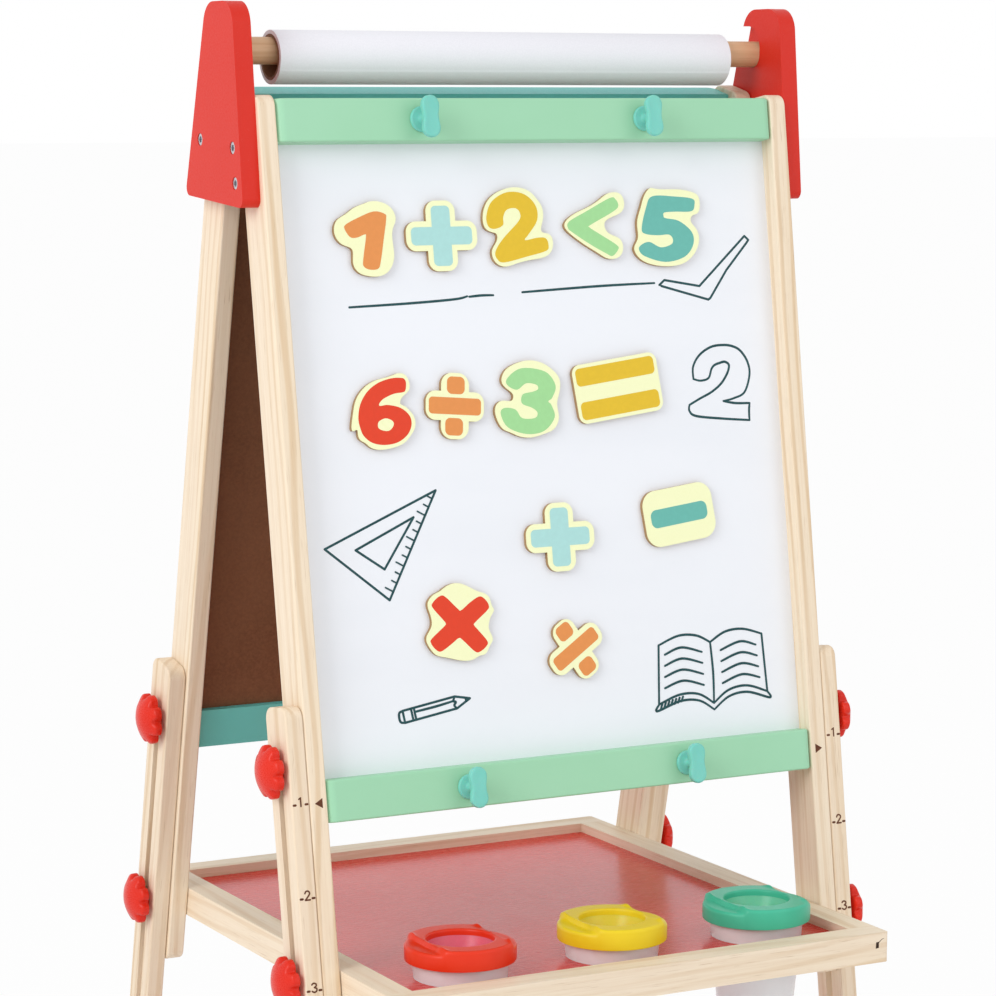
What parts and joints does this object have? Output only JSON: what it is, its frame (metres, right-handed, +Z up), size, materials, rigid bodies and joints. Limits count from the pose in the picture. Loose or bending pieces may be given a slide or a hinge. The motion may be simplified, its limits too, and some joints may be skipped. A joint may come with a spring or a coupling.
{
  "type": "kids easel",
  "caption": "Wooden A-frame standing easel for children with magnetic whiteboard, paper roll, paint tray with lidded pots and slide-out legs clamped by knobs.",
  "frame": {"origin": "centre of the bounding box on the floor", "axes": "+Z up, the whiteboard faces -Y, +X to the viewer's right when facing the whiteboard"},
  "size_m": [0.5062, 0.5018, 1.06],
  "materials": {
    "pine": "satin",
    "mint_paint": "satin",
    "teal_paint": "satin",
    "red_paint": "satin",
    "white_enamel": "gloss",
    "hardboard": "matt",
    "steel": "polished",
    "knob_red": "satin",
    "clip_teal": "satin",
    "paper_white": "matt",
    "card_brown": "matt",
    "panel_red": "gloss",
    "cup_clear": "translucent",
    "lid_red": "satin",
    "lid_yellow": "satin",
    "lid_green": "satin",
    "magnet_cream": "satin"
  },
  "bodies": {
    "front_frame": {"front_stile_left": "pine", "front_stile_right": "pine", "front_top_rail": "mint_paint", "front_bottom_rail": "mint_paint", "whiteboard": "white_enamel", "side_plate_left": "red_paint", "side_plate_right": "red_paint", "plate_screws": "steel", "front_bolts": "steel"},
    "rear_frame": {"rear_stile_left": "pine", "rear_stile_right": "pine", "rear_top_rail": "teal_paint", "rear_bottom_rail": "teal_paint", "chalkboard": "hardboard", "rear_bolts": "steel"},
    "tray": {"tray_front_rail": "pine", "tray_rear_rail": "pine", "tray_left_rail": "pine", "tray_right_rail": "pine", "tray_panel": "panel_red", "tray_pins": "steel", "tray_bolt_stubs": "steel"},
    "dowel": {"roller_dowel": "pine"},
    "roll": {"roll_core": "card_brown", "roll_paper": "paper_white"},
    "front_leg_left": {"front_leg_left": "pine"},
    "front_knob_upper_left": {"front_knob_upper_left": "knob_red"},
    "front_knob_lower_left": {"front_knob_lower_left": "knob_red"},
    "rear_leg_left": {"rear_leg_left": "pine"},
    "rear_knob_upper_left": {"rear_knob_upper_left": "knob_red"},
    "rear_knob_lower_left": {"rear_knob_lower_left": "knob_red"},
    "front_leg_right": {"front_leg_right": "pine"},
    "front_knob_upper_right": {"front_knob_upper_right": "knob_red"},
    "front_knob_lower_right": {"front_knob_lower_right": "knob_red"},
    "rear_leg_right": {"rear_leg_right": "pine"},
    "rear_knob_upper_right": {"rear_knob_upper_right": "knob_red"},
    "rear_knob_lower_right": {"rear_knob_lower_right": "knob_red"},
    "clip_top_left": {"clip_top_left": "clip_teal"},
    "clip_top_right": {"clip_top_right": "clip_teal"},
    "clip_bottom_left": {"clip_bottom_left": "clip_teal"},
    "clip_bottom_right": {"clip_bottom_right": "clip_teal"},
    "pot_cup_red": {"pot_cup_red": "cup_clear"},
    "pot_lid_red": {"pot_lid_red": "lid_red"},
    "pot_cup_yellow": {"pot_cup_yellow": "cup_clear"},
    "pot_lid_yellow": {"pot_lid_yellow": "lid_yellow"},
    "pot_cup_green": {"pot_cup_green": "cup_clear"},
    "pot_lid_green": {"pot_lid_green": "lid_green"},
    "magnet_one": {"magnet_one": "magnet_cream"},
    "magnet_plus": {"magnet_plus": "magnet_cream"},
    "magnet_two": {"magnet_two": "magnet_cream"},
    "magnet_less": {"magnet_less": "magnet_cream"},
    "magnet_five": {"magnet_five": "magnet_cream"},
    "magnet_six": {"magnet_six": "magnet_cream"},
    "magnet_divide": {"magnet_divide": "magnet_cream"},
    "magnet_three": {"magnet_three": "magnet_cream"},
    "magnet_equals": {"magnet_equals": "magnet_cream"},
    "magnet_plus_low": {"magnet_plus_low": "magnet_cream"},
    "magnet_minus": {"magnet_minus": "magnet_cream"},
    "magnet_times": {"magnet_times": "magnet_cream"},
    "magnet_divide_low": {"magnet_divide_low": "magnet_cream"}
  },
  "joints": [
    {"name": "rear_fold", "type": "hinge", "parent": "front_frame", "child": "rear_frame", "pos_m": [0, 0.00681, 0.96305], "axis": [-1, 0, 0], "range_deg": [0, 21]},
    {"name": "tray_tilt", "type": "hinge", "parent": "front_frame", "child": "tray", "pos_m": [0, -0.14125, 0.3665], "axis": [-1, 0, 0], "range_deg": [0, 80]},
    {"name": "front_leg_left_slide", "type": "slide", "parent": "front_frame", "child": "front_leg_left", "axis": [0, 0.1501, 0.9887], "range_m": [0, 0.134]},
    {"name": "front_knob_upper_left_turn", "type": "hinge", "parent": "front_frame", "child": "front_knob_upper_left", "pos_m": [-0.242, -0.11822, 0.51824], "axis": [1, 0, 0], "continuous": true},
    {"name": "front_knob_lower_left_turn", "type": "hinge", "parent": "front_frame", "child": "front_knob_lower_left", "pos_m": [-0.242, -0.14125, 0.3665], "axis": [1, 0, 0], "continuous": true},
    {"name": "rear_leg_left_slide", "type": "slide", "parent": "rear_frame", "child": "rear_leg_left", "axis": [0, -0.2261, 0.9741], "range_m": [0, 0.134]},
    {"name": "rear_knob_upper_left_turn", "type": "hinge", "parent": "rear_frame", "child": "rear_knob_upper_left", "pos_m": [-0.242, 0.1121, 0.51835], "axis": [1, 0, 0], "continuous": true},
    {"name": "rear_knob_lower_left_turn", "type": "hinge", "parent": "rear_frame", "child": "rear_knob_lower_left", "pos_m": [-0.242, 0.14736, 0.3665], "axis": [1, 0, 0], "continuous": true},
    {"name": "front_leg_right_slide", "type": "slide", "parent": "front_frame", "child": "front_leg_right", "axis": [0, 0.1501, 0.9887], "range_m": [0, 0.134]},
    {"name": "front_knob_upper_right_turn", "type": "hinge", "parent": "front_frame", "child": "front_knob_upper_right", "pos_m": [0.242, -0.11822, 0.51824], "axis": [1, 0, 0], "continuous": true},
    {"name": "front_knob_lower_right_turn", "type": "hinge", "parent": "front_frame", "child": "front_knob_lower_right", "pos_m": [0.242, -0.14125, 0.3665], "axis": [1, 0, 0], "continuous": true},
    {"name": "rear_leg_right_slide", "type": "slide", "parent": "rear_frame", "child": "rear_leg_right", "axis": [0, -0.2261, 0.9741], "range_m": [0, 0.134]},
    {"name": "rear_knob_upper_right_turn", "type": "hinge", "parent": "rear_frame", "child": "rear_knob_upper_right", "pos_m": [0.242, 0.1121, 0.51835], "axis": [1, 0, 0], "continuous": true},
    {"name": "rear_knob_lower_right_turn", "type": "hinge", "parent": "rear_frame", "child": "rear_knob_lower_right", "pos_m": [0.242, 0.14736, 0.3665], "axis": [1, 0, 0], "continuous": true},
    {"name": "dowel_lift", "type": "slide", "parent": "front_frame", "child": "dowel", "axis": [0, 0.848, 0.5299], "range_m": [0, 0.06]},
    {"name": "roll_spin", "type": "hinge", "parent": "dowel", "child": "roll", "pos_m": [0, -0.01732, 1.0215], "axis": [1, 0, 0], "continuous": true},
    {"name": "clip_top_left_turn", "type": "hinge", "parent": "front_frame", "child": "clip_top_left", "pos_m": [-0.0935, -0.06776, 0.97737], "axis": [0, -0.9887, 0.1501], "continuous": true},
    {"name": "clip_top_right_turn", "type": "hinge", "parent": "front_frame", "child": "clip_top_right", "pos_m": [0.0935, -0.06776, 0.97737], "axis": [0, -0.9887, 0.1501], "continuous": true},
    {"name": "clip_bottom_left_turn", "type": "hinge", "parent": "front_frame", "child": "clip_bottom_left", "pos_m": [-0.0935, -0.14068, 0.49687], "axis": [0, -0.9887, 0.1501], "continuous": true},
    {"name": "clip_bottom_right_turn", "type": "hinge", "parent": "front_frame", "child": "clip_bottom_right", "pos_m": [0.0935, -0.14068, 0.49687], "axis": [0, -0.9887, 0.1501], "continuous": true},
    {"name": "pot_red_lift", "type": "slide", "parent": "tray", "child": "pot_cup_red", "axis": [0, 0, 1], "range_m": [0, 0.061]},
    {"name": "lid_red_lift", "type": "slide", "parent": "pot_cup_red", "child": "pot_lid_red", "axis": [0, 0, 1], "range_m": [0, 0.024]},
    {"name": "pot_yellow_lift", "type": "slide", "parent": "tray", "child": "pot_cup_yellow", "axis": [0, 0, 1], "range_m": [0, 0.061]},
    {"name": "lid_yellow_lift", "type": "slide", "parent": "pot_cup_yellow", "child": "pot_lid_yellow", "axis": [0, 0, 1], "range_m": [0, 0.024]},
    {"name": "pot_green_lift", "type": "slide", "parent": "tray", "child": "pot_cup_green", "axis": [0, 0, 1], "range_m": [0, 0.061]},
    {"name": "lid_green_lift", "type": "slide", "parent": "pot_cup_green", "child": "pot_lid_green", "axis": [0, 0, 1], "range_m": [0, 0.024]},
    {"name": "magnet_one_pull", "type": "slide", "parent": "front_frame", "child": "magnet_one", "axis": [0, -0.9887, 0.1501], "range_m": [0, 0.03]},
    {"name": "magnet_plus_pull", "type": "slide", "parent": "front_frame", "child": "magnet_plus", "axis": [0, -0.9887, 0.1501], "range_m": [0, 0.03]},
    {"name": "magnet_two_pull", "type": "slide", "parent": "front_frame", "child": "magnet_two", "axis": [0, -0.9887, 0.1501], "range_m": [0, 0.03]},
    {"name": "magnet_less_pull", "type": "slide", "parent": "front_frame", "child": "magnet_less", "axis": [0, -0.9887, 0.1501], "range_m": [0, 0.03]},
    {"name": "magnet_five_pull", "type": "slide", "parent": "front_frame", "child": "magnet_five", "axis": [0, -0.9887, 0.1501], "range_m": [0, 0.03]},
    {"name": "magnet_six_pull", "type": "slide", "parent": "front_frame", "child": "magnet_six", "axis": [0, -0.9887, 0.1501], "range_m": [0, 0.03]},
    {"name": "magnet_divide_pull", "type": "slide", "parent": "front_frame", "child": "magnet_divide", "axis": [0, -0.9887, 0.1501], "range_m": [0, 0.03]},
    {"name": "magnet_three_pull", "type": "slide", "parent": "front_frame", "child": "magnet_three", "axis": [0, -0.9887, 0.1501], "range_m": [0, 0.03]},
    {"name": "magnet_equals_pull", "type": "slide", "parent": "front_frame", "child": "magnet_equals", "axis": [0, -0.9887, 0.1501], "range_m": [0, 0.03]},
    {"name": "magnet_plus_low_pull", "type": "slide", "parent": "front_frame", "child": "magnet_plus_low", "axis": [0, -0.9887, 0.1501], "range_m": [0, 0.03]},
    {"name": "magnet_minus_pull", "type": "slide", "parent": "front_frame", "child": "magnet_minus", "axis": [0, -0.9887, 0.1501], "range_m": [0, 0.03]},
    {"name": "magnet_times_pull", "type": "slide", "parent": "front_frame", "child": "magnet_times", "axis": [0, -0.9887, 0.1501], "range_m": [0, 0.03]},
    {"name": "magnet_divide_low_pull", "type": "slide", "parent": "front_frame", "child": "magnet_divide_low", "axis": [0, -0.9887, 0.1501], "range_m": [0, 0.03]}
  ]
}
